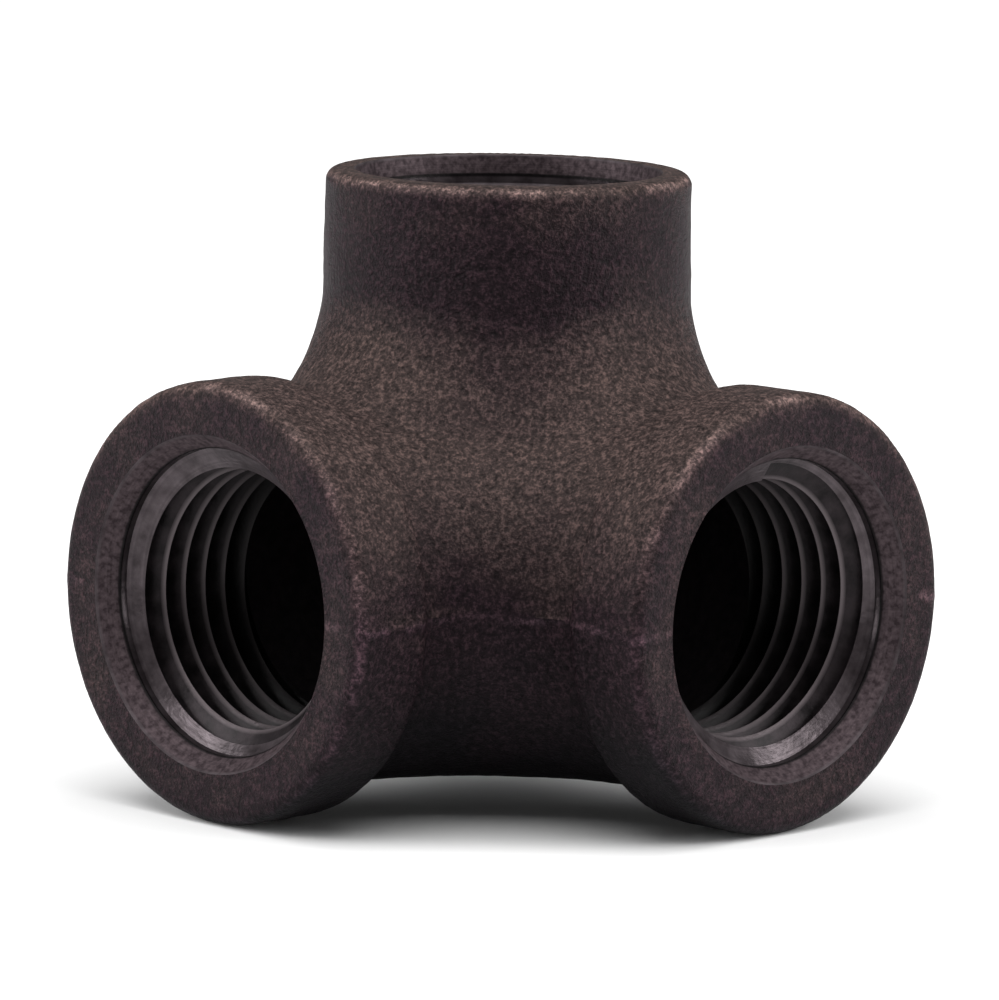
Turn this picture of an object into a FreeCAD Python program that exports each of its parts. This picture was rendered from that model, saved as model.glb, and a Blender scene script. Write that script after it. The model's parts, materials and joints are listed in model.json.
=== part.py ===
import FreeCAD, Part
import Sketcher
import math
import os

# Three-way corner elbow ("side outlet elbow") for steel pipe: one iron casting with
# a taper pipe thread tapped in each of its three ports.
#
# Frame, in millimetres: the three port axes cross at the origin.
#   +X  banded port      +Y  banded port      +Z  plain port

NODE = "side_outlet_elbow_casting"
V = FreeCAD.Vector

# ------------------------------------------------------------------ named sizes, in mm
SIZES = (
    ("centre_to_end", 28.45, "crossing of the axes to the face of each port"),
    ("stem_dia", 26.9, "outside of the body round the cored passage"),
    ("rim_dia", 26.1, "outside of the plain port at its face, narrower by the mould draft"),
    ("rim_round", 0.9, "rounded edge of the plain port"),
    ("band_dia", 30.8, "outside of the reinforcing band on the two banded ports"),
    ("band_width", 6.5, "length of that band along its port"),
    ("band_round", 1.4, "rounded edge of the band at the face"),
    ("band_back_round", 0.6, "rounded edge at the back of the band"),
    ("band_root", 1.0, "fillet where the back of the band meets the body"),
    ("upright_web_dia", 26.0, "outside of the curved web from the plain port to a banded one"),
    ("upright_web_reach", 21.2, "centre line radius of that web"),
    ("level_web_dia", 26.6, "outside of the curved web between the two banded ports"),
    ("level_crotch", 8.4, "hollow radius of that web"),
    ("web_bury", 0.6, "how far the ends of that web reach into the bands"),
    ("core_dia", 21.7, "cored passage through the casting"),
    ("core_set_back", 0.8, "back of a thread's bevel to where the curved passages end"),
    ("core_relief", 0.8, "by how much the curved passages are narrower than the straight"),
    ("thread_depth", 12.7, "face of a port to the inner end of its thread"),
    ("thread_exit", 0.8, "length of the bevel behind the thread"),
    ("pitch_dia", 19.772, "pitch diameter of the thread at the face"),
    ("thread_pitch", 1.8143, "14 threads to the inch"),
    ("thread_height", 1.451, "height of the truncated thread, 0.8 of the pitch"),
    ("flank_slope", 0.5773502691896257, "tangent of half the 60 degree angle between its flanks"),
    ("taper_ratio", 16, "length over which its diameter narrows by one"),
    ("cutter_overrun", 0.35, "by how much the thread cutter overruns the metal it cuts"),
    ("ring_dia", 21.4, "smooth ring between the recess and the first thread"),
    ("ring_start", 1.5, "face to the start of that ring"),
    ("ring_end", 2.1, "face to its end"),
    ("ring_bevel", 1.1, "length of the bevel from the ring down to the first crest"),
    ("banded_mouth_dia", 23.4, "mouth of a banded port"),
    ("plain_mouth_dia", 21.8, "mouth of the plain port"),
)

FULL_TURN, QUARTER_TURN = 360, 90

doc = FreeCAD.newDocument("side_outlet_elbow")
sheet = doc.addObject("Spreadsheet::Sheet", "Sizes")
for row, (alias, value, meaning) in enumerate(SIZES, start=1):
    sheet.set("A%d" % row, meaning)
    sheet.set("B%d" % row, str(value))
    sheet.setAlias("B%d" % row, alias)
doc.recompute()


def size(alias):
    """The value of a named size, read back from the spreadsheet."""
    return float(sheet.get(alias))


def expression(terms):
    """'a - b / 2' in spreadsheet names, for a bound dimension."""
    return " ".join("Sizes." + w if w[0].isalpha() else w for w in terms.split())


def value_of(terms):
    """The present value of such an expression."""
    words = [str(size(w)) if w[0].isalpha() else w for w in terms.split()]
    return float(FreeCAD.Units.Quantity(" ".join(words)).Value)


body = doc.addObject("PartDesign::Body", "Casting")
body.Label = NODE
body.Placement = FreeCAD.Placement(V(0, 0, 0), FreeCAD.Rotation())
doc.recompute()


def origin_plane(role):
    """One of the body's own three datum planes."""
    return next(f for f in body.Origin.OriginFeatures if f.Role == role)


# How each port is drawn: datum plane, whether its axis runs up the sketch, and the
# sketch axis that is the port's own.
DRAWN_ON = {
    "X": ("XZ_Plane", False, "H_Axis"),
    "Y": ("YZ_Plane", False, "H_Axis"),
    "Z": ("XZ_Plane", True, "V_Axis"),
}


def new_sketch(name, role):
    sketch = body.newObject("Sketcher::SketchObject", name)
    sketch.AttachmentSupport = [(origin_plane(role), "")]
    sketch.MapMode = "FlatFace"
    return sketch


def bind(sketch, kind, args, terms):
    """Give a sketch one dimension and drive it from the spreadsheet."""
    value = value_of(terms)
    index = sketch.addConstraint(Sketcher.Constraint(kind, *args, value))
    sketch.setExpression("Constraints[%d]" % index, expression(terms))


def outline(name, port, corners):
    """A closed outline round a port's axis. corners: (along, radius), each named terms."""
    role, upright, _ = DRAWN_ON[port]
    sketch = new_sketch(name, role)
    spots = []
    for along, radius in corners:
        a, r = value_of(along), value_of(radius)
        spots.append(V(r, a, 0) if upright else V(a, r, 0))
    count = len(spots)
    for i in range(count):
        sketch.addGeometry(Part.LineSegment(spots[i], spots[(i + 1) % count]), False)
    for i in range(count):
        sketch.addConstraint(Sketcher.Constraint("Coincident", i, 2, (i + 1) % count, 1))
    along_kind, radius_kind = "DistanceX", "DistanceY"
    if upright:
        along_kind, radius_kind = radius_kind, along_kind
    for i, (along, radius) in enumerate(corners):
        bind(sketch, along_kind, (-1, 1, i, 1), along)
        bind(sketch, radius_kind, (-1, 1, i, 1), radius)
    return sketch


def turned(kind, name, sketch, port):
    """Turn an outline all the way round its port's axis, adding or cutting."""
    feature = body.newObject(kind, name)
    feature.Profile = sketch
    feature.ReferenceAxis = (sketch, [DRAWN_ON[port][2]])
    feature.Angle = FULL_TURN
    sketch.Visibility = False
    doc.recompute()
    return feature


# Where each curved web is drawn: the plane its end circle lies on, the sketch axis that
# ends up through the centre of the curve, where the circle sits, and the sense of turn.
WEBS = {
    "XZ": ("XY_Plane", "V_Axis", (-1, 0), (1, 0), True),
    "YZ": ("XY_Plane", "H_Axis", (0, -1), (0, 1), False),
    "XY": ("YZ_Plane", "V_Axis", (-1, 0), (1, 0), True),
}


def web(kind, pair, name, dia, reach, line_radius):
    """A quarter ring of round section from one port to another.

    reach: centre of the curve from both axes. line_radius: curve's centre line.
    """
    role, axis, side, shift, backwards = WEBS[pair]
    sketch = new_sketch(name + "_section", role)
    for component, step in zip("xy", shift):
        if step:
            sketch.setExpression("AttachmentOffset.Base." + component, expression(reach))
    sketch.setExpression("AttachmentOffset.Base.z", expression(reach))
    far = value_of(line_radius)
    sketch.addGeometry(
        Part.Circle(V(side[0] * far, side[1] * far, 0), V(0, 0, 1), value_of(dia) / 2), False
    )
    bind(sketch, "Diameter", (0,), dia)
    if side[0]:
        sketch.addConstraint(Sketcher.Constraint("PointOnObject", 0, 3, -1))
        bind(sketch, "DistanceX", (0, 3, -1, 1), line_radius)
    else:
        sketch.addConstraint(Sketcher.Constraint("PointOnObject", 0, 3, -2))
        bind(sketch, "DistanceY", (0, 3, -1, 1), line_radius)
    doc.recompute()
    feature = body.newObject(kind, name)
    feature.Profile = sketch
    feature.ReferenceAxis = (sketch, [axis])
    feature.Angle = QUARTER_TURN
    feature.Reversed = backwards
    sketch.Visibility = False
    doc.recompute()
    return feature


def circles_round(feature, port, radius, along):
    """Names of the circular edges of one radius, at one place on a port's axis."""
    axis = "XYZ".index(port)
    near = 1e-4
    names = []
    for i, edge in enumerate(feature.Shape.Edges, start=1):
        curve = edge.Curve
        if getattr(curve, "TypeId", "") != "Part::GeomCircle":
            continue
        centre = curve.Center
        off_axis = [centre[k] for k in range(3) if k != axis]
        if (
            abs(curve.Radius - radius) < near
            and abs(centre[axis] - along) < near
            and max(abs(c) for c in off_axis) < near
            and abs(abs(curve.Axis[axis]) - 1) < near
        ):
            names.append("Edge%d" % i)
    return names


def rounded(name, base, edges, terms):
    feature = body.newObject("PartDesign::Fillet", name)
    feature.Base = (base, edges)
    feature.setExpression("Radius", expression(terms))
    doc.recompute()
    return feature


# ------------------------------------------------------------------ outside of the casting
ADD, CUT = "PartDesign::Revolution", "PartDesign::Groove"
NOUGHT = "0"

plain = turned(
    ADD,
    "PlainPort",
    outline(
        "PlainPort_outline",
        "Z",
        (
            (NOUGHT, NOUGHT),
            (NOUGHT, "stem_dia / 2"),
            ("centre_to_end", "rim_dia / 2"),
            ("centre_to_end", NOUGHT),
        ),
    ),
    "Z",
)
rounded(
    "PlainPort_rim",
    plain,
    circles_round(plain, "Z", size("rim_dia") / 2, size("centre_to_end")),
    "rim_round",
)

for port in "XY":
    banded = turned(
        ADD,
        "BandedPort" + port,
        outline(
            "BandedPort%s_outline" % port,
            port,
            (
                (NOUGHT, NOUGHT),
                (NOUGHT, "stem_dia / 2"),
                ("centre_to_end - band_width", "stem_dia / 2"),
                ("centre_to_end - band_width", "band_dia / 2"),
                ("centre_to_end", "band_dia / 2"),
                ("centre_to_end", NOUGHT),
            ),
        ),
        port,
    )
    back = size("centre_to_end") - size("band_width")
    banded = rounded(
        "Band%s_edges" % port,
        banded,
        circles_round(banded, port, size("band_dia") / 2, size("centre_to_end")),
        "band_round",
    )
    banded = rounded(
        "Band%s_back" % port,
        banded,
        circles_round(banded, port, size("band_dia") / 2, back),
        "band_back_round",
    )
    banded = rounded(
        "Band%s_root" % port,
        banded,
        circles_round(banded, port, size("stem_dia") / 2, back),
        "band_root",
    )

corner = body.newObject("PartDesign::AdditiveSphere", "Corner")
corner.setExpression("Radius", expression("stem_dia / 2"))
doc.recompute()

for pair in ("XZ", "YZ"):
    web(ADD, pair, "Web" + pair, "upright_web_dia", "upright_web_reach", "upright_web_reach")
web(
    ADD,
    "XY",
    "WebXY",
    "level_web_dia",
    "centre_to_end - band_width + web_bury",
    "level_crotch + level_web_dia / 2",
)

# ------------------------------------------------------------------ cored passage
core = body.newObject("PartDesign::SubtractiveSphere", "CoreCorner")
core.setExpression("Radius", expression("core_dia / 2"))
doc.recompute()

MOUTHS = {"X": "banded_mouth_dia", "Y": "banded_mouth_dia", "Z": "plain_mouth_dia"}
for port in "XYZ":
    mouth = MOUTHS[port]
    turned(
        CUT,
        "Bore" + port,
        outline(
            "Bore%s_outline" % port,
            port,
            (
                (NOUGHT, NOUGHT),
                (NOUGHT, "core_dia / 2"),
                ("centre_to_end - thread_depth - thread_exit", "core_dia / 2"),
                (
                    "centre_to_end - thread_depth",
                    "pitch_dia / 2 - thread_height / 2 - thread_depth / taper_ratio / 2",
                ),
                (
                    "centre_to_end - ring_end - ring_bevel",
                    "pitch_dia / 2 - thread_height / 2"
                    " - ( ring_end + ring_bevel ) / taper_ratio / 2",
                ),
                ("centre_to_end - ring_end", "ring_dia / 2"),
                ("centre_to_end - ring_start", "ring_dia / 2"),
                ("centre_to_end", mouth + " / 2"),
                ("centre_to_end", NOUGHT),
            ),
        ),
        port,
    )

CORE_REACH = "centre_to_end - thread_depth - thread_exit - core_set_back"
for pair in ("XZ", "YZ", "XY"):
    web(CUT, pair, "Core" + pair, "core_dia - core_relief", CORE_REACH, CORE_REACH)


# ------------------------------------------------------------------ taper threads
RUN_ON = "( thread_pitch / 2 + cutter_overrun )"
CUT_START = "( thread_depth + thread_exit + " + RUN_ON + " )"
CUT_STOP = "( ring_end - thread_pitch / 2 - cutter_overrun / 2 )"
MIDDLE = "centre_to_end - " + CUT_START
HALF_MOUTH = "thread_height * flank_slope"
HALF_ROOT = "( thread_pitch / 2 - thread_height * flank_slope )"
CREST = "pitch_dia / 2 - thread_height / 2 - " + CUT_START + " / taper_ratio / 2"
INSIDE, ROOT = CREST + " - cutter_overrun", CREST + " + thread_height"
THREAD_SECTION = (
    (MIDDLE + " - " + HALF_MOUTH, INSIDE),
    (MIDDLE + " - " + HALF_MOUTH, CREST),
    (MIDDLE + " - " + HALF_ROOT, ROOT),
    (MIDDLE + " + " + HALF_ROOT, ROOT),
    (MIDDLE + " + " + HALF_MOUTH, CREST),
    (MIDDLE + " + " + HALF_MOUTH, INSIDE),
)
# Where the groove may begin, in mm along the axis from its drawn start: the first of
# these that cuts the whole thread is used.
LATER_STARTS = (0, 0.04, -0.04, 0.08, -0.08, 0.12, -0.12, 0.2, -0.2, 0.3, 0.45, 0.6, 0.8)


def section_at(port, number, later):
    """The cutter's section, drawn at the inner end of the thread."""
    role, upright, _ = DRAWN_ON[port]
    sketch = new_sketch("Thread%s_section%s" % (port, number or ""), role)
    narrower = later / (2 * size("taper_ratio"))
    spots = []
    for along, radius in THREAD_SECTION:
        a, r = value_of(along) - later, value_of(radius) - narrower
        spots.append(V(r, a, 0) if upright else V(a, r, 0))
    count = len(spots)
    for i in range(count):
        sketch.addGeometry(Part.LineSegment(spots[i], spots[(i + 1) % count]), False)
    for i in range(count):
        sketch.addConstraint(Sketcher.Constraint("Coincident", i, 2, (i + 1) % count, 1))
        sketch.addConstraint(Sketcher.Constraint("Block", i))
    sketch.Visibility = False
    doc.recompute()
    return sketch


def thread_groove(port):
    """Cut one right-hand taper thread: a V groove that widens towards the face."""
    section_area = size("thread_height") * size("thread_pitch") / 2
    turns = (size("thread_depth") - size("ring_end")) / size("thread_pitch")
    expected = section_area * math.pi * size("pitch_dia") * turns
    before = body.Shape.Volume
    for number, later in enumerate(LATER_STARTS):
        sketch = section_at(port, number, later)
        groove = body.newObject("PartDesign::SubtractiveHelix", "Thread%s" % port)
        groove.Profile = sketch
        groove.ReferenceAxis = (sketch, [DRAWN_ON[port][2]])
        groove.Mode = "pitch-height-angle"
        groove.setExpression("Pitch", expression("thread_pitch"))
        groove.Height = value_of(CUT_START + " - " + CUT_STOP) + later
        groove.Angle = math.degrees(math.atan(1 / (2 * size("taper_ratio"))))
        groove.LeftHanded = False
        groove.Reversed = False
        doc.recompute()
        removed = before - body.Shape.Volume
        if body.Shape.isValid() and removed > expected / 2:
            return groove
        body.removeObject(groove)
        doc.removeObject(groove.Name)
        body.removeObject(sketch)
        doc.removeObject(sketch.Name)
        doc.recompute()
    raise RuntimeError("the thread of port %s cut nothing" % port)


for port in "XYZ":
    thread_groove(port)

# ------------------------------------------------------------------ checks and export
doc.recompute()
for thing in doc.Objects:
    if "Invalid" in thing.State or "Error" in thing.State:
        raise RuntimeError("%s did not build: %s" % (thing.Name, thing.State))
shape = body.Shape
if shape.isNull() or not shape.isValid() or len(shape.Solids) != 1 or shape.Volume <= 0:
    raise RuntimeError("the casting is not one sound solid")
os.makedirs("parts", exist_ok=True)
shape.exportStep(os.path.join("parts", NODE + ".step"))
print(NODE, "volume", round(shape.Volume, 1), "mm3, faces", len(shape.Faces))
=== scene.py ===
import json
import math

import bpy
import numpy as np
from mathutils import Matrix, Vector, noise


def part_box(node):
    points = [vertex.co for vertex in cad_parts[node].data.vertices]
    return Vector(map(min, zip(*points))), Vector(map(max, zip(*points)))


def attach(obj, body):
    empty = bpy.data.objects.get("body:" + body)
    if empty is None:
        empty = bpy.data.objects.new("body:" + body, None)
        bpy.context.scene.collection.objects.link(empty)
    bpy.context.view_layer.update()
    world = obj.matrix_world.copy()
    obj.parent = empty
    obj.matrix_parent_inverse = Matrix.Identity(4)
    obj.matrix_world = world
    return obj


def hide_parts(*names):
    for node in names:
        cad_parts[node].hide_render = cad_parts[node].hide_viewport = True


# A black malleable-iron corner elbow: a sand-cast skin with three faced and threaded
# ports cut into it, on a pale floor. Shapes are worked out in millimetres, in the row's
# frame (the port axes cross at the origin), and scaled to metres when a mesh is made.

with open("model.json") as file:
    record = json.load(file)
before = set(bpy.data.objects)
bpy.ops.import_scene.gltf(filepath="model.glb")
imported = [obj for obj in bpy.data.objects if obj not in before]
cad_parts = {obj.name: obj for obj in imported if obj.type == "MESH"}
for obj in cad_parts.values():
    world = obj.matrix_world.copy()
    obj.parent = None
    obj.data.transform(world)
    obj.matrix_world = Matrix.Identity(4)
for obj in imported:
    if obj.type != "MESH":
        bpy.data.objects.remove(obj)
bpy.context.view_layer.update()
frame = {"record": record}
NODE = "side_outlet_elbow_casting"
MM = 0.001

# ---------------------------------------------------------------- driving sizes, in mm
CENTRE_TO_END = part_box(NODE)[1][2] / MM
PORTS = {m["name"][-1].upper(): m for m in frame["record"]["mounts"] if "r_mm" in m["dims"]}
RING_R = PORTS["X"]["dims"]["r_mm"]

STEM_R = 13.45  # body round the passage
RIM_R = 13.05  # plain port at its face
RIM_ROUND = 0.9
BAND_R, BAND_WIDTH = 15.42, 6.5
BAND_ROUND, BACK_ROUND = 1.15, 0.6  # the band's edge at the face, and at its back
LEVEL_WEB_R, LEVEL_CROTCH = 13.3, 8.4  # section and hollow of a curved web
UPRIGHT_WEB_R, UPRIGHT_CROTCH = 13.05, 8.2
CORE_R = 10.85

THREAD_PITCH = 1.8143
THREAD_HEIGHT = 1.451
PITCH_R = 19.772 / 2
TAPER = 1 / 32  # of the radius
THREAD_DEPTH = 12.7
TAP_TURNS = 8
RING_START, RING_END, RING_BEVEL = 1.5, 2.1, 1.1
MOUTH_R = {"X": 11.7, "Y": 11.7, "Z": 10.9}

SKIN_STEP = 0.41  # spacing of the skin's points
CORE_STEP = 0.55
ROUND_STEPS = 144  # points round a machined surface

SEED = Vector((3.1, 7.7, 1.9))


def fine(steps):
    return steps


# ---------------------------------------------------------------- distance fields
def axial(p, port):
    """(distance along a port's axis, distance from it) of each point."""
    k = "XYZ".index(port)
    along = p[:, k]
    return along, np.hypot(p[:, (k + 1) % 3], p[:, (k + 2) % 3])


def drum(p, port, low, high, radius, edge, back_edge=None):
    """Distance to a round bar with rounded edges."""
    along, r = axial(p, port)
    off = along - (low + high) / 2
    if back_edge is not None:
        edge = np.where(off < 0, back_edge, edge)
    end = np.abs(off) - (high - low) / 2 + edge
    side = r - radius + edge
    outside = np.hypot(np.maximum(end, 0), np.maximum(side, 0))
    return np.minimum(np.maximum(end, side), 0) + outside - edge


def plain_port(p):
    """The upright port, a little narrower at its rim than at the body."""
    lean = (STEM_R - RIM_R) / CENTRE_TO_END
    radius = STEM_R - lean * np.clip(p[:, 2], 0, CENTRE_TO_END)
    return drum(p, "Z", 0, CENTRE_TO_END, radius, RIM_ROUND)


def ball(p, radius):
    return np.linalg.norm(p, axis=1) - radius


def web(p, pair, radius, crotch, reach):
    """Distance to a bar that bends from one port to the other, straight past the bend."""
    i, j = ("XYZ".index(c) for c in pair)
    k = 3 - i - j
    u, v, w = p[:, i], p[:, j], p[:, k]
    line = crotch + radius
    du, dv = reach - u, reach - v
    off = np.where(dv < 0, du, np.where(du < 0, dv, np.hypot(du, dv)))
    off = np.where((du < 0) & (dv < 0), -np.hypot(du, dv), off)
    past_bend = np.maximum(-np.minimum(du, dv), 0)
    return np.hypot(off - line, w) - radius + SHRINK * past_bend**2


def with_slope(field, p, reach=1e-3):
    """A field's value and unit gradient at each point."""
    value = field(p)
    slope = np.empty_like(p)
    for k in range(3):
        q = p.copy()
        q[:, k] += reach
        slope[:, k] = field(q) - value
    slope /= np.maximum(np.linalg.norm(slope, axis=1, keepdims=True), 1e-9)
    return value, slope


def melted(p, parts):
    """Union of (field, blend width): a valley between two faces is filled, and faces that
    run the same way stay as they are."""
    value, slope = with_slope(parts[0][0], p)
    for field, width in parts[1:]:
        other, tilt = with_slope(field, p)
        bend = np.clip((1 - np.sum(slope * tilt, axis=1)) / 0.5, 0, 1)
        k = np.maximum(width * bend, 1e-6)
        h = np.clip(k - np.abs(value - other), 0, None) / k
        share = np.clip(0.5 + 0.5 * (other - value) / k, 0, 1)[:, None]
        value = np.minimum(value, other) - h * h * k / 4
        slope = slope * share + tilt * (1 - share)
        slope /= np.maximum(np.linalg.norm(slope, axis=1, keepdims=True), 1e-9)
    return value


LEVEL_REACH = CENTRE_TO_END - BAND_WIDTH + 0.6
UPRIGHT_REACH = UPRIGHT_WEB_R + UPRIGHT_CROTCH
VALLEY, BAND_ROOT = 5.0, 0.8
SHRINK = 0.06  # how fast a web narrows past its bend, inside the port it runs into


def skin_field(p):
    """The casting's outside, as one solid with nothing cut in it."""
    inner = CENTRE_TO_END - BAND_WIDTH / 2
    body = [
        (plain_port, 0),
        (lambda q: drum(q, "X", 0, inner, STEM_R, 0.1), VALLEY),
        (lambda q: drum(q, "Y", 0, inner, STEM_R, 0.1), VALLEY),
        (lambda q: ball(q, STEM_R), VALLEY),
        (lambda q: web(q, "XZ", UPRIGHT_WEB_R, UPRIGHT_CROTCH, UPRIGHT_REACH), VALLEY),
        (lambda q: web(q, "YZ", UPRIGHT_WEB_R, UPRIGHT_CROTCH, UPRIGHT_REACH), VALLEY),
        (lambda q: web(q, "XY", LEVEL_WEB_R, LEVEL_CROTCH, LEVEL_REACH), VALLEY),
    ]
    back = CENTRE_TO_END - BAND_WIDTH
    for port in "XY":
        body.append(
            (
                lambda q, port=port: drum(
                    q, port, back, CENTRE_TO_END, BAND_R, BAND_ROUND, BACK_ROUND
                ),
                BAND_ROOT,
            )
        )
    return np.maximum(melted(p, body), p.max(axis=1) - CENTRE_TO_END)


def core_field(p):
    """The hollow the sand core left: three passages that meet."""
    end = CENTRE_TO_END - THREAD_DEPTH
    parts = [(lambda q: ball(q, CORE_R), 0)]
    for port in "XYZ":
        parts.append((lambda q, port=port: drum(q, port, 0, end, CORE_R, 0.6), 3.0))
    return melted(p, parts)


# ---------------------------------------------------------------- fields to meshes
def net(field, low, high, step, relax=2):
    """Points and four-sided faces of the surface where a field is nought."""
    counts = [int(math.ceil((high - low) / step)) + 1] * 3
    ticks = [low + step * np.arange(c) for c in counts]
    grid = np.stack(np.meshgrid(*ticks, indexing="ij"), axis=-1).reshape(-1, 3)
    values = np.concatenate([field(g) for g in np.array_split(grid, 24)])
    inside = values.reshape(counts) < 0
    corners = sum(
        inside[a : counts[0] - 1 + a, b : counts[1] - 1 + b, c : counts[2] - 1 + c].astype(int)
        for a in (0, 1)
        for b in (0, 1)
        for c in (0, 1)
    )
    mixed = (corners > 0) & (corners < 8)
    number = np.full(mixed.shape, -1)
    number[mixed] = np.arange(mixed.sum())
    points = low + step * (np.argwhere(mixed) + 0.5)
    faces = []
    for k in range(3):
        i, j = (k + 1) % 3, (k + 2) % 3
        here = [slice(1, -1)] * 3
        here[k] = slice(0, -1)
        there = list(here)
        there[k] = slice(1, None)
        starts, ends = inside[tuple(here)], inside[tuple(there)]
        spots = np.argwhere(starts != ends)
        leaving = starts[starts != ends]
        spots[:, [i, j]] += 1
        cell = []
        for back_i, back_j in ((0, 0), (1, 0), (1, 1), (0, 1)):
            at = spots.copy()
            at[:, i] -= back_i
            at[:, j] -= back_j
            cell.append(number[at[:, 0], at[:, 1], at[:, 2]])
        quads = np.stack(cell, axis=1)
        quads[~leaving] = quads[~leaving][:, ::-1]
        faces.append(quads)
    faces = np.concatenate(faces)
    for turn in range(relax + 1):
        if turn:
            points = evened(points, faces)
        for _ in range(4):
            value, slope = with_slope(field, points)
            points = points - slope * np.clip(value, -step, step)[:, None]
    return points, faces


def evened(points, faces):
    """Each point moved part of the way to the middle of its neighbours."""
    total, count = np.zeros_like(points), np.zeros(len(points))
    for a in range(4):
        for b in ((a + 1) % 4, (a + 3) % 4):
            np.add.at(total, faces[:, a], points[faces[:, b]])
            np.add.at(count, faces[:, a], 1)
    middle = total / np.maximum(count, 1)[:, None]
    return (points + middle) / 2


def mesh_object(name, points, faces, material=0):
    mesh = bpy.data.meshes.new(name)
    mesh.from_pydata((np.asarray(points) * MM).tolist(), [], [tuple(f) for f in faces])
    for iron in IRONS:
        mesh.materials.append(iron)
    mesh.polygons.foreach_set("material_index", [material] * len(mesh.polygons))
    mesh.update()
    obj = bpy.data.objects.new(name, mesh)
    bpy.context.scene.collection.objects.link(obj)
    return obj


def placed(port, along, radius, angle):
    """A point on a port, from its place along the axis, radius and angle."""
    spot = [0.0, 0.0, 0.0]
    k = "XYZ".index(port)
    spot[k] = along
    spot[(k + 1) % 3] = radius * math.cos(angle)
    spot[(k + 2) % 3] = radius * math.sin(angle)
    return spot


def turned(name, port, outline, material):
    """A solid of revolution round a port. outline: (along, radius), ends on the axis."""
    steps = fine(ROUND_STEPS)
    rings = outline[1:-1]
    points = [placed(port, a, r, math.tau * i / steps) for a, r in rings for i in range(steps)]
    first, last = len(points), len(points) + 1
    points += [placed(port, outline[0][0], 0, 0), placed(port, outline[-1][0], 0, 0)]
    faces = []
    for i in range(steps):
        n = (i + 1) % steps
        faces.append((first, n, i))
        for ring in range(len(rings) - 1):
            a, b = ring * steps, (ring + 1) * steps
            faces.append((a + i, a + n, b + n, b + i))
        faces.append((last, (len(rings) - 1) * steps + i, (len(rings) - 1) * steps + n))
    return mesh_object(name, points, faces, material)


def thread_radius(depth, phase):
    """Radius of the tapped thread. phase: 0 to 1 through one pitch, 0 at a crest."""
    flank = abs(phase - 0.5) * 2  # 1 at a crest of the metal, 0 at the root
    sharp = THREAD_PITCH / 2 / math.tan(math.radians(30))
    rise = (1 - flank) * sharp - (sharp - THREAD_HEIGHT) / 2
    rounded = 0.09
    rise = 0.5 * (rise + math.hypot(rise, rounded))
    over = THREAD_HEIGHT - rise
    rise = THREAD_HEIGHT - 0.5 * (over + math.hypot(over, rounded))
    return PITCH_R - THREAD_HEIGHT / 2 - TAPER * depth + rise


def tap(name, port, start, stop, material):
    """A right-hand taper plug: what the tap takes out between two depths."""
    steps, per_pitch = fine(ROUND_STEPS), 14
    turns = round((stop - start) / THREAD_PITCH)
    rows = turns * per_pitch
    points = []
    for row in range(rows + 1):
        for i in range(steps):
            depth = stop - THREAD_PITCH * (row / per_pitch + i / steps)
            phase = (row / per_pitch) % 1
            radius = thread_radius(depth, phase)
            points.append(placed(port, CENTRE_TO_END - depth, radius, math.tau * i / steps))

    def at(row, i):
        return (row + per_pitch) * steps if i == steps else row * steps + i

    top = rows - per_pitch
    faces = [
        (at(row, i), at(row, i + 1), at(row + 1, i + 1), at(row + 1, i))
        for row in range(top)
        for i in range(steps)
    ]
    k = "XYZ".index(port)
    for row, turn in ((0, -1), (top, 1)):
        loop = [at(row, i) for i in range(steps)]
        loop += [(row + r) * steps for r in range(per_pitch, 0, -1)]
        hub = [0.0, 0.0, 0.0]
        hub[k] = sum(points[v][k] for v in loop) / len(loop)
        points.append(hub)
        for a, b in zip(loop, loop[1:] + loop[:1]):
            faces.append((len(points) - 1, a, b)[::turn])
    used = sorted({v for f in faces for v in f})
    renumber = {v: n for n, v in enumerate(used)}
    faces = [tuple(renumber[v] for v in f) for f in faces]
    return mesh_object(name, [points[v] for v in used], faces, material)


# ---------------------------------------------------------------- the sand-cast skin
CAST, FACED, THREAD, CORE = range(4)


def grain(p, size):
    """Seeded noise, -1 to 1, with features of a size in mm."""
    return np.array([noise.noise(Vector(q) / size + SEED) for q in p])


# Unevenness of the skin, and the parting line's wander and break-up: (height, size) in mm.
SKIN_WAVES = ((0.05, 7.0), (0.035, 2.2), (0.03, 0.9))
PARTING_WANDER = ((0.35, 6.0), (0.12, 1.6))
FLASH_HEIGHT, FLASH_HALF_WIDTH, FLASH_BREAK = 0.16, 0.28, 4.0
FACE_FADE = 0.8  # the skin is smooth this near to a face
SKIN_SUNK = 0.06  # keeps the uneven skin inside the plain shape


def waves(p, parts):
    return sum(height * grain(p, size) for height, size in parts)


def skin_height(p):
    """How far the cast skin stands off its plain shape, in mm."""
    height = waves(p, SKIN_WAVES)
    off = p[:, 2] - waves(p, PARTING_WANDER)
    flash = np.exp(-((off / FLASH_HALF_WIDTH) ** 2))
    flash *= np.clip(0.55 + 0.9 * grain(p, FLASH_BREAK), 0, 1)
    height += FLASH_HEIGHT * flash
    for port in "XYZ":
        along, _ = axial(p, port)
        height *= np.clip((CENTRE_TO_END - along) / FACE_FADE, 0, 1)
    return height - SKIN_SUNK


def skin():
    step = SKIN_STEP * 1
    points, faces = net(skin_field, -BAND_R - 1, CENTRE_TO_END + 1, step)
    _, slope = with_slope(skin_field, points)
    points = points + slope * skin_height(points)[:, None]
    return mesh_object("side_outlet_elbow", points, faces, CAST)


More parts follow.
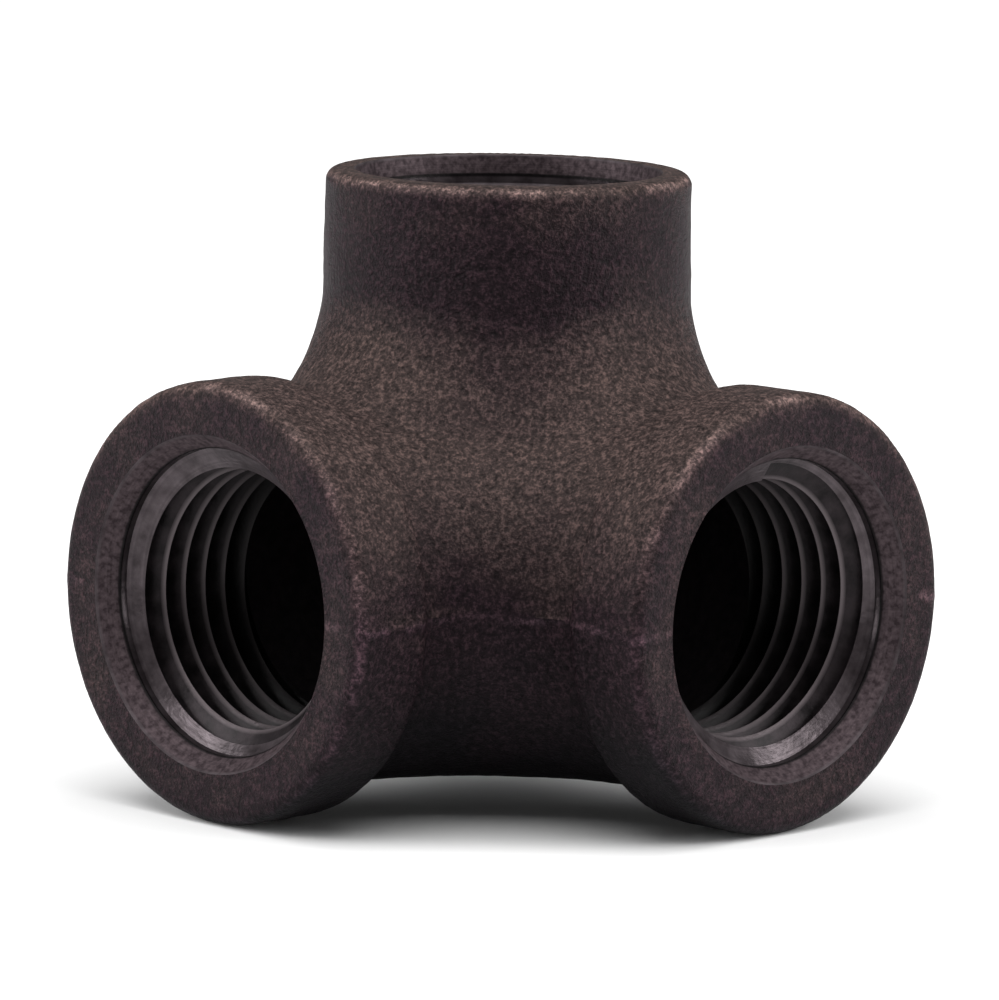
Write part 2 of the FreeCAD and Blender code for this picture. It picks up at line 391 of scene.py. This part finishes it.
def cutters():
    """What the sand core and the machining take out of the casting."""
    points, faces = net(core_field, -CORE_R - 1, CENTRE_TO_END - THREAD_DEPTH + 1, CORE_STEP)
    tools = [mesh_object("core", points, faces, CORE)]
    past = 1.0
    worn = 0.12
    for port in "XYZ":
        mouth = MOUTH_R[port]
        crest = PITCH_R - THREAD_HEIGHT / 2 - TAPER * (RING_END + RING_BEVEL)
        inner = PITCH_R - THREAD_HEIGHT / 2 - TAPER * THREAD_DEPTH
        clear = 0.05
        outline = [
            (CENTRE_TO_END - THREAD_DEPTH - past, 0),
            (CENTRE_TO_END - THREAD_DEPTH - past, inner - clear),
            (CENTRE_TO_END - RING_END - RING_BEVEL, crest - clear),
            (CENTRE_TO_END - RING_END, RING_R),
            (CENTRE_TO_END - RING_START, RING_R),
            (CENTRE_TO_END - worn, mouth),
            (CENTRE_TO_END, mouth + worn),
            (CENTRE_TO_END + past, mouth + worn + past),
            (CENTRE_TO_END + past, 0),
        ]
        tools.append(turned("mouth_" + port, port, outline, FACED))
        start = RING_END - 0.5
        stop = start + TAP_TURNS * THREAD_PITCH
        tools.append(tap("tap_" + port, port, start, stop, THREAD))
    return tools


def machined(solid, tools):
    """The solid with each tool cut out of it, as one closed mesh."""
    for tool in tools:
        cut = solid.modifiers.new(tool.name, "BOOLEAN")
        cut.operation = "DIFFERENCE"
        cut.solver = "MANIFOLD"
        cut.material_mode = "INDEX"
        cut.object = tool
    ready = solid.evaluated_get(bpy.context.evaluated_depsgraph_get())
    mesh = bpy.data.meshes.new_from_object(ready)
    solid.modifiers.clear()
    old, solid.data = solid.data, mesh
    bpy.data.meshes.remove(old)
    for tool in tools:
        bpy.data.meshes.remove(tool.data)
    return solid


# ---------------------------------------------------------------- materials
def material(name):
    mat = bpy.data.materials.new(name)
    mat.use_nodes = True
    mat.node_tree.nodes.clear()
    return mat, mat.node_tree


def node(nodes, kind, **inputs):
    made = nodes.new(kind)
    for name, value in inputs.items():
        made.inputs[name.replace("_", " ")].default_value = value
    return made


def maths(tree, operation, a, b=0.0):
    """A Math node fed by numbers or sockets."""
    made = tree.nodes.new("ShaderNodeMath")
    made.operation = operation
    for slot, value in zip(made.inputs, (a, b)):
        if isinstance(value, (int, float)):
            slot.default_value = value
        else:
            tree.links.new(value, slot)
    return made.outputs[0]


def line(tree, value, slope, start):
    """start + slope * value"""
    return maths(tree, "ADD", maths(tree, "MULTIPLY", value, slope), start)


def noise_in_mm(tree, size, detail=3.0, rough=0.55):
    """A noise texture in the object's own coordinates, with features of a size in mm."""
    place = tree.nodes.new("ShaderNodeTexCoord")
    made = node(tree.nodes, "ShaderNodeTexNoise", Detail=detail, Roughness=rough)
    made.inputs["Scale"].default_value = 1 / (size * MM)
    tree.links.new(place.outputs["Object"], made.inputs["Vector"])
    return made.outputs["Fac"]


def ramp(tree, source, stops):
    made = tree.nodes.new("ShaderNodeValToRGB")
    band = made.color_ramp
    while len(band.elements) < len(stops):
        band.elements.new(0.5)
    for element, (at, colour) in zip(band.elements, stops):
        element.position = at
        element.color = (*colour, 1)
    tree.links.new(source, made.inputs["Fac"])
    return made.outputs["Color"]


def mix(tree, factor, a, b):
    made = tree.nodes.new("ShaderNodeMix")
    made.data_type = "RGBA"
    for socket, value in ((made.inputs[0], factor), (made.inputs[6], a), (made.inputs[7], b)):
        if isinstance(value, tuple):
            socket.default_value = (*value, 1)
        else:
            tree.links.new(value, socket)
    return made.outputs[2]


def bumped(tree, height, distance, strength=1.0, after=None):
    made = node(tree.nodes, "ShaderNodeBump", Strength=strength, Distance=distance)
    tree.links.new(height, made.inputs["Height"])
    if after:
        tree.links.new(after, made.inputs["Normal"])
    return made.outputs["Normal"]


def finish_iron(tree, colour, roughness, normal, metallic, specular):
    shader = node(tree.nodes, "ShaderNodeBsdfPrincipled", Metallic=metallic)
    shader.inputs["Specular IOR Level"].default_value = specular
    tree.links.new(colour, shader.inputs["Base Color"])
    tree.links.new(roughness, shader.inputs["Roughness"])
    tree.links.new(normal, shader.inputs["Normal"])
    out = tree.nodes.new("ShaderNodeOutputMaterial")
    tree.links.new(shader.outputs[0], out.inputs["Surface"])


def tinted(tree, a, b):
    """Two colours multiplied."""
    made = tree.nodes.new("ShaderNodeVectorMath")
    made.operation = "MULTIPLY"
    tree.links.new(a, made.inputs[0])
    tree.links.new(b, made.inputs[1])
    return made.outputs[0]


def scaled(tree, colour, factor):
    """A colour times a grey factor."""
    made = tree.nodes.new("ShaderNodeVectorMath")
    made.operation = "SCALE"
    tree.links.new(colour, made.inputs[0])
    tree.links.new(factor, made.inputs["Scale"])
    return made.outputs[0]


def coordinates(tree):
    """Sockets for the object's own x, y and z, in mm."""
    place = tree.nodes.new("ShaderNodeTexCoord")
    apart = tree.nodes.new("ShaderNodeSeparateXYZ")
    tree.links.new(place.outputs["Object"], apart.inputs[0])
    return [maths(tree, "DIVIDE", apart.outputs[k], MM) for k in range(3)]


def place_in_port(tree):
    """How far inside the nearest face a point lies, and how far off the port's axis, in mm."""
    spot = coordinates(tree)
    along = maths(tree, "MAXIMUM", maths(tree, "MAXIMUM", spot[0], spot[1]), spot[2])
    squares = [maths(tree, "MULTIPLY", c, c) for c in [*spot, along]]
    whole = maths(tree, "ADD", maths(tree, "ADD", squares[0], squares[1]), squares[2])
    radius = maths(tree, "SQRT", maths(tree, "SUBTRACT", whole, squares[3]))
    return maths(tree, "SUBTRACT", CENTRE_TO_END, along), radius


def between(tree, value, low, high):
    """0 at one value, 1 at the other and beyond."""
    made = tree.nodes.new("ShaderNodeMapRange")
    made.inputs["From Min"].default_value, made.inputs["From Max"].default_value = low, high
    tree.links.new(value, made.inputs["Value"])
    return made.outputs["Result"]


def painted_light_by_facing(tree):
    """Painted light and shade: 0 on a surface that faces down, 1 on one that faces up."""
    shape = tree.nodes.new("ShaderNodeNewGeometry")
    apart = tree.nodes.new("ShaderNodeSeparateXYZ")
    tree.links.new(shape.outputs["Normal"], apart.inputs[0])
    return between(tree, apart.outputs[2], -1.0, 1.0)


def turning_marks(tree, depth, pitch):
    """Fine rings round a port, from noise that only changes with depth."""
    join = tree.nodes.new("ShaderNodeCombineXYZ")
    tree.links.new(depth, join.inputs[0])
    made = node(tree.nodes, "ShaderNodeTexNoise", Detail=2.0, Roughness=0.6)
    made.inputs["Scale"].default_value = 1 / pitch
    tree.links.new(join.outputs[0], made.inputs["Vector"])
    return made.outputs["Fac"]


# Painted light and shade: the skin's colour on faces that look down, sideways and up.
PAINTED_SHADE_BELOW = (0.0040, 0.0032, 0.0042)  # painted shade on faces that look down
PAINTED_SIDE_LIGHT = (0.0125, 0.0072, 0.0094)
PAINTED_TOP_LIGHT = (0.038, 0.0262, 0.0245)  # painted light on faces that look up, warmer
DARK_GRAIN, GRAIN, LIGHT_GRAIN = (0.27,) * 3, (0.90,) * 3, (2.8, 2.65, 2.55)  # factors

PATCH, SAND, FINE_SAND = 7.0, 0.42, 0.2  # sizes in mm
PATCH_EFFECT = 0.5
SEAM_HALF_WIDTH, SEAM_CORE, SEAM_WANDER = 0.42, 0.08, 2.2
SEAM_LIFT, WEAR_AND_HIGHLIGHT_LIFT = 2.0, 1.7  # how much lighter the parting line, and the worn edges with their painted highlight, are


def parting_line(tree):
    """1 along the wavy, broken line where the two halves of the mould met."""
    _, _, z = coordinates(tree)
    wander = line(tree, noise_in_mm(tree, 5.0), SEAM_WANDER, -SEAM_WANDER / 2)
    off = maths(tree, "ABSOLUTE", maths(tree, "SUBTRACT", z, wander))
    broken = between(tree, noise_in_mm(tree, 2.6), 0.42, 0.6)
    return maths(tree, "MULTIPLY", between(tree, off, SEAM_HALF_WIDTH, SEAM_CORE), broken)


def worn_and_highlit_shoulder(tree):
    """1 on the rounded edges next to the faces, in patches: wear and a painted highlight."""
    depth, _ = place_in_port(tree)
    begins, ends = between(tree, depth, 0.10, 0.3), between(tree, depth, 0.9, 0.4)
    patches = between(tree, noise_in_mm(tree, 3.0), 0.35, 0.6)
    return maths(tree, "MULTIPLY", maths(tree, "MULTIPLY", begins, ends), patches)


def cast_iron():
    mat, tree = material("sand_cast_black_iron")
    patches = noise_in_mm(tree, PATCH)
    sand = noise_in_mm(tree, SAND, 3.0, 0.7)
    fine_sand = noise_in_mm(tree, FINE_SAND, 2.0, 0.7)
    # Painted light and shade: lighter and warmer where the skin faces up, darker where it faces
    # down; random patches shift the tone.
    shift = line(tree, patches, PATCH_EFFECT, -PATCH_EFFECT / 2)
    painted_light_and_patches = maths(tree, "ADD", painted_light_by_facing(tree), shift)
    painted_light_colour = ramp(tree, painted_light_and_patches, [(0.12, PAINTED_SHADE_BELOW), (0.48, PAINTED_SIDE_LIGHT), (0.85, PAINTED_TOP_LIGHT)])
    both = maths(
        tree, "ADD", maths(tree, "MULTIPLY", sand, 0.6), maths(tree, "MULTIPLY", fine_sand, 0.4)
    )
    specks = ramp(tree, both, [(0.36, DARK_GRAIN), (0.50, GRAIN), (0.63, LIGHT_GRAIN)])
    colour = tinted(tree, painted_light_colour, specks)
    # Worn edges made lighter, as wear and as a painted highlight.
    colour = scaled(tree, colour, line(tree, worn_and_highlit_shoulder(tree), WEAR_AND_HIGHLIGHT_LIFT, 1.0))
    colour = scaled(tree, colour, line(tree, parting_line(tree), SEAM_LIFT, 1.0))
    rough = line(tree, sand, 0.3, 0.36)
    normal = bumped(tree, sand, 0.22 * MM, 0.8)
    normal = bumped(tree, fine_sand, 0.10 * MM, 0.8, normal)
    finish_iron(tree, colour, rough, normal, metallic=0.15, specular=0.07)
    return mat


RECESS = ((0.024, 0.0165, 0.019), (0.068, 0.050, 0.055))  # darkest and lightest
TURNED = ((0.026, 0.0205, 0.0225), (0.072, 0.059, 0.064))
TAPPED = ((0.0075, 0.0060, 0.0066), (0.024, 0.019, 0.021))
# Painted highlight along the thread crests.
PAINTED_CREST_HIGHLIGHT = (0.105, 0.088, 0.093)
# Painted shade: the cored hollow deep inside, near black.
PAINTED_SHADE_CORE = ((0.0015, 0.0011, 0.0014), (0.005, 0.0036, 0.0042))
STAIN = 1.6  # mm


def faced_iron():
    """Recess, ring and bevel at a mouth: turned, with fine rings left by the tool, and painted
    shade along the step where the ring begins.
    """
    mat, tree = material("turned_iron")
    depth, _ = place_in_port(tree)
    stain = noise_in_mm(tree, STAIN, 4.0)
    mottle = noise_in_mm(tree, 0.4, 2.0)
    marks = turning_marks(tree, depth, 0.12)
    rough_cone = ramp(tree, mottle, [(0.34, RECESS[0]), (0.66, RECESS[1])])
    worn_edge = between(tree, depth, 0.3, 0.1)
    bright = ramp(tree, stain, [(0.32, TURNED[0]), (0.68, TURNED[1])])
    inner = between(tree, depth, RING_START - 0.12, RING_START + 0.12)
    colour = mix(tree, maths(tree, "MAXIMUM", inner, worn_edge), rough_cone, bright)
    # Painted shade: a dark line along the step where the countersink meets the ring.
    step_shade_offset = maths(tree, "ABSOLUTE", maths(tree, "SUBTRACT", depth, RING_START))
    colour = scaled(tree, colour, maths(tree, "ADD", between(tree, step_shade_offset, 0.06, 0.2), 0.12))
    colour = scaled(tree, colour, maths(tree, "ADD", marks, 0.5))
    rough = line(tree, inner, -0.34, 0.62)
    normal = bumped(tree, mottle, 0.05 * MM, 0.5)
    normal = bumped(tree, marks, 0.02 * MM, 0.6, normal)
    finish_iron(tree, colour, rough, normal, metallic=0.6, specular=0.2)
    return mat


def tapped_iron():
    """Threads: a painted highlight along the crests, and painted shade deeper into the bore."""
    mat, tree = material("tapped_thread_iron")
    depth, radius = place_in_port(tree)
    stain = noise_in_mm(tree, STAIN, 4.0)
    colour = ramp(tree, stain, [(0.35, TAPPED[0]), (0.65, TAPPED[1])])
    # Painted highlight: lighter along the crests.
    crest_highlight_height = maths(
        tree, "ADD", radius, line(tree, depth, TAPER, THREAD_HEIGHT / 2 - PITCH_R)
    )
    colour = mix(tree, between(tree, crest_highlight_height, 0.34, 0.1), colour, PAINTED_CREST_HIGHLIGHT)
    # Painted shade: darker further into the bore.
    colour = scaled(tree, colour, line(tree, between(tree, depth, 3.0, 11.0), -0.93, 1.0))
    mottle = noise_in_mm(tree, 0.3, 2.0)
    rough = line(tree, stain, 0.25, 0.22)
    normal = bumped(tree, mottle, 0.03 * MM, 0.5)
    finish_iron(tree, colour, rough, normal, metallic=0.5, specular=0.12)
    return mat


def core_iron_painted_shade():
    mat, tree = material("sand_core_iron")
    sand = noise_in_mm(tree, 0.7, 3.0)
    # Painted shade: the hollow is painted near black for the shade deep inside it.
    colour = ramp(tree, sand, [(0.35, PAINTED_SHADE_CORE[0]), (0.7, PAINTED_SHADE_CORE[1])])
    rough = line(tree, sand, 0.2, 0.7)
    normal = bumped(tree, sand, 0.15 * MM, 0.8)
    finish_iron(tree, colour, rough, normal, metallic=0.0, specular=0.03)
    return mat


SHARP_ABOVE = math.radians(34)
IRONS = [make() for make in (cast_iron, faced_iron, tapped_iron, core_iron_painted_shade)]
casting = machined(skin(), cutters())
casting.data.set_sharp_from_angle(angle=SHARP_ABOVE)
for face in casting.data.polygons:
    face.use_smooth = True

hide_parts(NODE)
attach(casting, "root")

# ---------------------------------------------------------------- floor, light, camera
FLOOR_SIZE, FLOOR_GREY = 6.0, 0.80
FLOOR_GAP = 0.00002  # keeps the floor just clear of the bands
WORLD_STRENGTH = 0.22
floor_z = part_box(NODE)[0][2] - FLOOR_GAP
bpy.ops.mesh.primitive_plane_add(size=FLOOR_SIZE, location=(0, 0, floor_z))
floor = bpy.context.object
floor.name = "floor"
pale, tree = material("pale_floor")
white = node(tree.nodes, "ShaderNodeBsdfPrincipled", Roughness=0.8)
white.inputs["Base Color"].default_value = (FLOOR_GREY, FLOOR_GREY, FLOOR_GREY, 1)
out = tree.nodes.new("ShaderNodeOutputMaterial")
tree.links.new(white.outputs[0], out.inputs["Surface"])
floor.data.materials.append(pale)

world = bpy.data.worlds.new("studio")
world.use_nodes = True
world.node_tree.nodes["Background"].inputs["Color"].default_value = (1, 1, 1, 1)
world.node_tree.nodes["Background"].inputs["Strength"].default_value = WORLD_STRENGTH
bpy.context.scene.world = world

CAMERA_AZIMUTH, CAMERA_ELEVATION, CAMERA_ROLL = 45.3, 9.02, 0.99  # degrees
CAMERA_DISTANCE = 0.4915
AIM_UP, AIM_LEFT = 0.00462, 0.00025  # off the axes' crossing, in metres
LENS = 247.1


def toward(azimuth, elevation):
    """Unit vector from the object, azimuth counted from +X towards +Y."""
    a, e = math.radians(azimuth), math.radians(elevation)
    return Vector((math.cos(e) * math.cos(a), math.cos(e) * math.sin(a), math.sin(e)))


def softbox(name, azimuth, elevation, distance, size, power):
    data = bpy.data.lights.new(name, "AREA")
    data.shape, data.size, data.size_y = "RECTANGLE", *size
    data.energy = power
    obj = bpy.data.objects.new(name, data)
    obj.location = toward(azimuth, elevation) * distance
    obj.rotation_euler = (-toward(azimuth, elevation)).to_track_quat("-Z", "Y").to_euler()
    bpy.context.scene.collection.objects.link(obj)


# Azimuth, elevation in degrees; distance and size in metres; power in watts.
softbox("overhead", CAMERA_AZIMUTH, 80, 2.2, (2.8, 2.8), 80)
for name, swing in (("left", -82), ("right", 82)):
    softbox(name, CAMERA_AZIMUTH + swing, 18, 1.2, (0.7, 0.9), 15)

camera_data = bpy.data.cameras.new("camera")
camera_data.lens = LENS
camera_data.sensor_width = 36
camera_data.clip_start = 0.01
camera = bpy.data.objects.new("camera", camera_data)
bpy.context.scene.collection.objects.link(camera)
look = -toward(CAMERA_AZIMUTH, CAMERA_ELEVATION)
facing = look.to_track_quat("-Z", "Y").to_matrix()
right, up = facing.col[0], facing.col[1]
camera.location = -look * CAMERA_DISTANCE
aim = up * AIM_UP - right * AIM_LEFT
turn = (aim - camera.location).to_track_quat("-Z", "Y").to_matrix()
camera.rotation_euler = (
    turn @ Matrix.Rotation(math.radians(CAMERA_ROLL), 3, "Z")
).to_euler()
bpy.context.scene.camera = camera
bpy.context.scene.view_settings.view_transform = "Standard"
